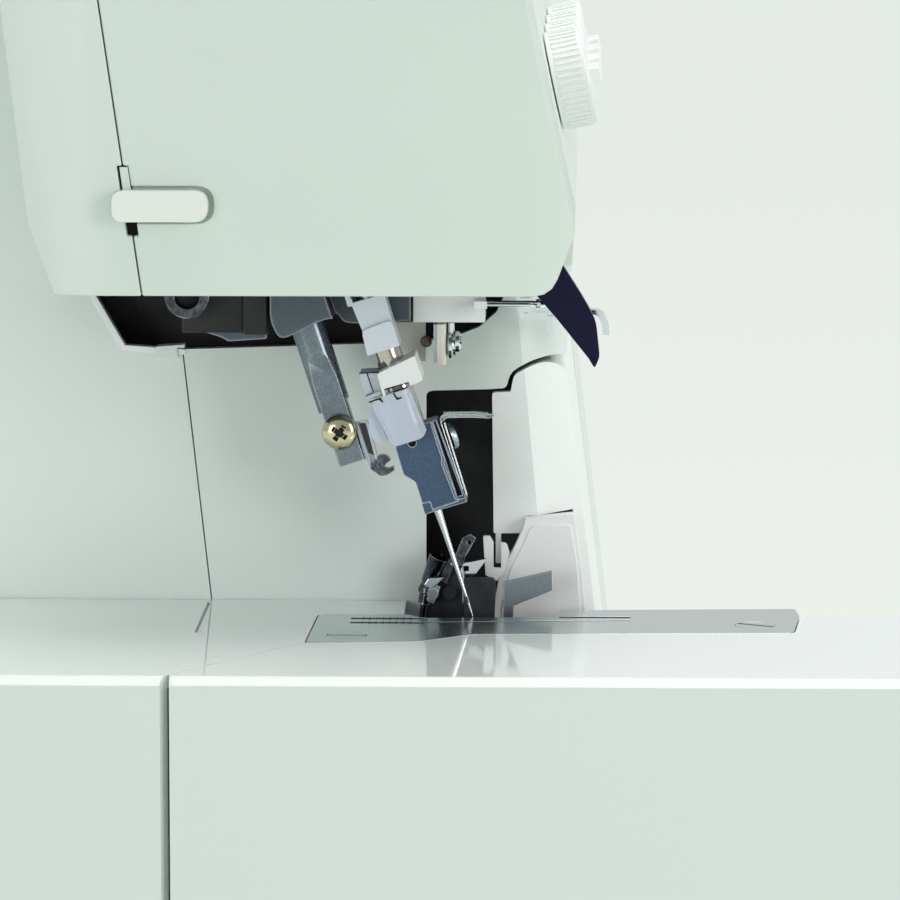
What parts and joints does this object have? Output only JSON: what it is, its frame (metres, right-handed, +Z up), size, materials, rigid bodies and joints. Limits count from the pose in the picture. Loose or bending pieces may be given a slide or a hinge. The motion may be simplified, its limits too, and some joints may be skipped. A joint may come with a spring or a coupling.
{
  "type": "overlock sewing machine",
  "caption": "Overlock sewing machine: leaning needle and presser bars over a wide bed, loopers and knife behind a fold-down cover, thread dials, handwheel and spool stand.",
  "frame": {"origin": "middle of the machine's footprint, on the table", "axes": "+X to the operator's right, +Y away from the operator, +Z up"},
  "size_m": [0.33, 0.3184, 0.312],
  "materials": {
    "cover_shell": "moulded, glossy",
    "cover_light": "moulded, satin gloss",
    "white_plastic": "moulded, satin",
    "clear_plastic": "translucent, bluish",
    "grey_plastic": "satin",
    "black_plastic": "satin",
    "black_frame": "dark, cast and painted",
    "navy_gloss": "glossy dark blue",
    "rubber_black": "matte",
    "cast_metal": "as cast, fine grain",
    "zinc_clamp": "bead blasted",
    "satin_steel": "brushed",
    "bright_steel": "polished",
    "nickel_screw": "nickel over brass"
  },
  "bodies": {
    "frame": {"base_pan": "cover_light", "rubber_foot_1": "rubber_black", "rubber_foot_2": "rubber_black", "rubber_foot_3": "rubber_black", "rubber_foot_4": "rubber_black", "front_casing": "cover_shell", "rear_casing": "cover_shell", "face_cover": "cover_light", "head_rear_cover": "cover_light", "arm_top_cover": "cover_shell", "bed_cover": "cover_shell", "needle_plate": "satin_steel", "plate_screw_1": "satin_steel", "plate_screw_2": "satin_steel", "bed_frame": "cast_metal", "waste_chute": "cover_light", "looper_guard": "white_plastic", "lower_knife": "satin_steel", "machine_frame": "black_frame", "arm_casting": "cast_metal", "lift_block": "black_plastic", "inlet_socket": "black_plastic", "head_guide_block": "white_plastic", "thread_clip": "satin_steel", "wire_guide": "bright_steel", "guide_bracket": "satin_steel", "spool_stand": "cover_shell"},
    "cloth_plate": {"cloth_plate_door": "cover_shell"},
    "looper_cover": {"looper_front_cover": "cover_light"},
    "needle_drive": {"needle_bar": "bright_steel", "needle_clamp": "zinc_clamp", "needle": "bright_steel", "needle_thread_guide": "bright_steel"},
    "threader": {"threader_sleeve": "white_plastic", "threader_block": "white_plastic", "threader_shield": "clear_plastic"},
    "threader_handle": {"threader_lever": "white_plastic"},
    "presser": {"presser_bar": "satin_steel", "presser_screw": "nickel_screw", "foot_catch": "satin_steel"},
    "lifter": {"presser_lifter": "white_plastic"},
    "take_up": {"take_up_lever": "navy_gloss"},
    "upper_looper_arm": {"upper_looper": "bright_steel"},
    "lower_looper_arm": {"lower_looper": "bright_steel"},
    "knife_drive": {"upper_knife": "satin_steel"},
    "feed_main": {"feed_dog_main": "satin_steel"},
    "feed_differential": {"feed_dog_differential": "satin_steel"},
    "drive": {"main_shaft": "satin_steel", "handwheel": "cover_shell"},
    "tension_1": {"tension_dial_1": "white_plastic"},
    "tension_2": {"tension_dial_2": "white_plastic"},
    "tension_3": {"tension_dial_3": "white_plastic"},
    "tension_4": {"tension_dial_4": "white_plastic"},
    "stitch_length": {"stitch_length_dial": "grey_plastic"},
    "feed_ratio": {"differential_feed_dial": "grey_plastic"},
    "presser_pressure": {"presser_pressure_dial": "white_plastic"},
    "switch_rocker": {"power_switch": "black_plastic"},
    "handle": {"carry_handle": "cover_shell"},
    "mast": {"mast_middle": "satin_steel"},
    "guide_bar": {"thread_guide_bar": "cover_light"}
  },
  "joints": [
    {"name": "needle_bar_slide", "type": "slide", "parent": "frame", "child": "needle_drive", "axis": [0, 0.309, 0.9511], "range_m": [-0.006, 0.014]},
    {"name": "threader_slide", "type": "slide", "parent": "needle_drive", "child": "threader", "axis": [0, 0.309, 0.9511], "range_m": [-0.0068, 0]},
    {"name": "threader_lever_slide", "type": "slide", "parent": "frame", "child": "threader_handle", "axis": [0, 0.1402, 0.9901], "range_m": [-0.0034, 0]},
    {"name": "presser_bar_slide", "type": "slide", "parent": "frame", "child": "presser", "axis": [0, 0.309, 0.9511], "range_m": [0, 0.006]},
    {"name": "presser_lifter_hinge", "type": "hinge", "parent": "frame", "child": "lifter", "pos_m": [-0.039, 0.0902, 0.225], "axis": [1, 0, 0], "range_deg": [0, 28]},
    {"name": "take_up_hinge", "type": "hinge", "parent": "frame", "child": "take_up", "pos_m": [-0.0835, -0.0108, 0.224], "axis": [1, 0, 0], "range_deg": [-9, 9]},
    {"name": "upper_looper_hinge", "type": "hinge", "parent": "frame", "child": "upper_looper_arm", "pos_m": [-0.071, -0.0178, 0.078], "axis": [1, 0, 0], "range_deg": [-6, 6]},
    {"name": "lower_looper_hinge", "type": "hinge", "parent": "frame", "child": "lower_looper_arm", "pos_m": [-0.067, 0.0002, 0.078], "axis": [1, 0, 0], "range_deg": [-5, 5]},
    {"name": "upper_knife_slide", "type": "slide", "parent": "frame", "child": "knife_drive", "axis": [0, 0, 1], "range_m": [-0.002, 0.002]},
    {"name": "feed_main_slide", "type": "slide", "parent": "frame", "child": "feed_main", "axis": [0, 1, 0], "range_m": [-0.002, 0.002]},
    {"name": "feed_differential_slide", "type": "slide", "parent": "frame", "child": "feed_differential", "axis": [0, 1, 0], "range_m": [-0.002, 0.002]},
    {"name": "handwheel_spin", "type": "hinge", "parent": "frame", "child": "drive", "pos_m": [0.148, 0.0052, 0.07], "axis": [1, 0, 0], "continuous": true},
    {"name": "tension_dial_1_turn", "type": "hinge", "parent": "frame", "child": "tension_1", "pos_m": [-0.025, -0.03479, 0.234], "axis": [0, -0.9779, 0.209], "range_deg": [-150, 150]},
    {"name": "tension_dial_2_turn", "type": "hinge", "parent": "frame", "child": "tension_2", "pos_m": [0.011, -0.03479, 0.234], "axis": [0, -0.9779, 0.209], "range_deg": [-150, 150]},
    {"name": "tension_dial_3_turn", "type": "hinge", "parent": "frame", "child": "tension_3", "pos_m": [0.047, -0.03479, 0.234], "axis": [0, -0.9779, 0.209], "range_deg": [-150, 150]},
    {"name": "tension_dial_4_turn", "type": "hinge", "parent": "frame", "child": "tension_4", "pos_m": [0.083, -0.03479, 0.234], "axis": [0, -0.9779, 0.209], "range_deg": [-150, 150]},
    {"name": "stitch_length_turn", "type": "hinge", "parent": "frame", "child": "stitch_length", "pos_m": [0.089, -0.1498, 0.043], "axis": [0, -1, 0], "range_deg": [-135, 135]},
    {"name": "feed_ratio_turn", "type": "hinge", "parent": "frame", "child": "feed_ratio", "pos_m": [0.124, -0.1498, 0.043], "axis": [0, -1, 0], "range_deg": [-135, 135]},
    {"name": "presser_pressure_turn", "type": "hinge", "parent": "frame", "child": "presser_pressure", "pos_m": [-0.087, 0.0452, 0.292], "axis": [0, 0, 1], "range_deg": [-150, 150]},
    {"name": "power_switch_rock", "type": "hinge", "parent": "frame", "child": "switch_rocker", "pos_m": [0.146, 0.0752, 0.06], "axis": [0, 1, 0], "range_deg": [-6, 6]},
    {"name": "carry_handle_hinge", "type": "hinge", "parent": "frame", "child": "handle", "pos_m": [0.037, 0.0572, 0.285], "axis": [1, 0, 0], "range_deg": [-90, 0]},
    {"name": "mast_lower_slide", "type": "slide", "parent": "frame", "child": "mast", "axis": [0, 0, 1], "range_m": [0, 0.07]},
    {"name": "mast_upper_slide", "type": "slide", "parent": "mast", "child": "guide_bar", "axis": [0, 0, 1], "range_m": [0, 0.07]},
    {"name": "cloth_plate_hinge", "type": "hinge", "parent": "frame", "child": "cloth_plate", "pos_m": [-0.1635, 0.0477, 0.072], "axis": [0, 0, 1], "range_deg": [-75, 0]},
    {"name": "looper_cover_hinge", "type": "hinge", "parent": "frame", "child": "looper_cover", "pos_m": [0.004, -0.0497, 0.0724], "axis": [1, 0, 0], "range_deg": [0, 85]}
  ],
  "couplings": [
    {"joint": "threader_slide", "follows": "threader_lever_slide", "ratio": 2},
    {"joint": "presser_bar_slide", "follows": "presser_lifter_hinge", "m_per_rad": 0.0122},
    {"joint": "take_up_hinge", "follows": "needle_bar_slide", "rad_per_m": -10},
    {"joint": "upper_looper_hinge", "follows": "needle_bar_slide", "rad_per_m": 7},
    {"joint": "lower_looper_hinge", "follows": "needle_bar_slide", "rad_per_m": -5},
    {"joint": "upper_knife_slide", "follows": "needle_bar_slide", "ratio": 0.14},
    {"joint": "feed_main_slide", "follows": "needle_bar_slide", "ratio": 0.14},
    {"joint": "feed_differential_slide", "follows": "needle_bar_slide", "ratio": 0.14}
  ]
}
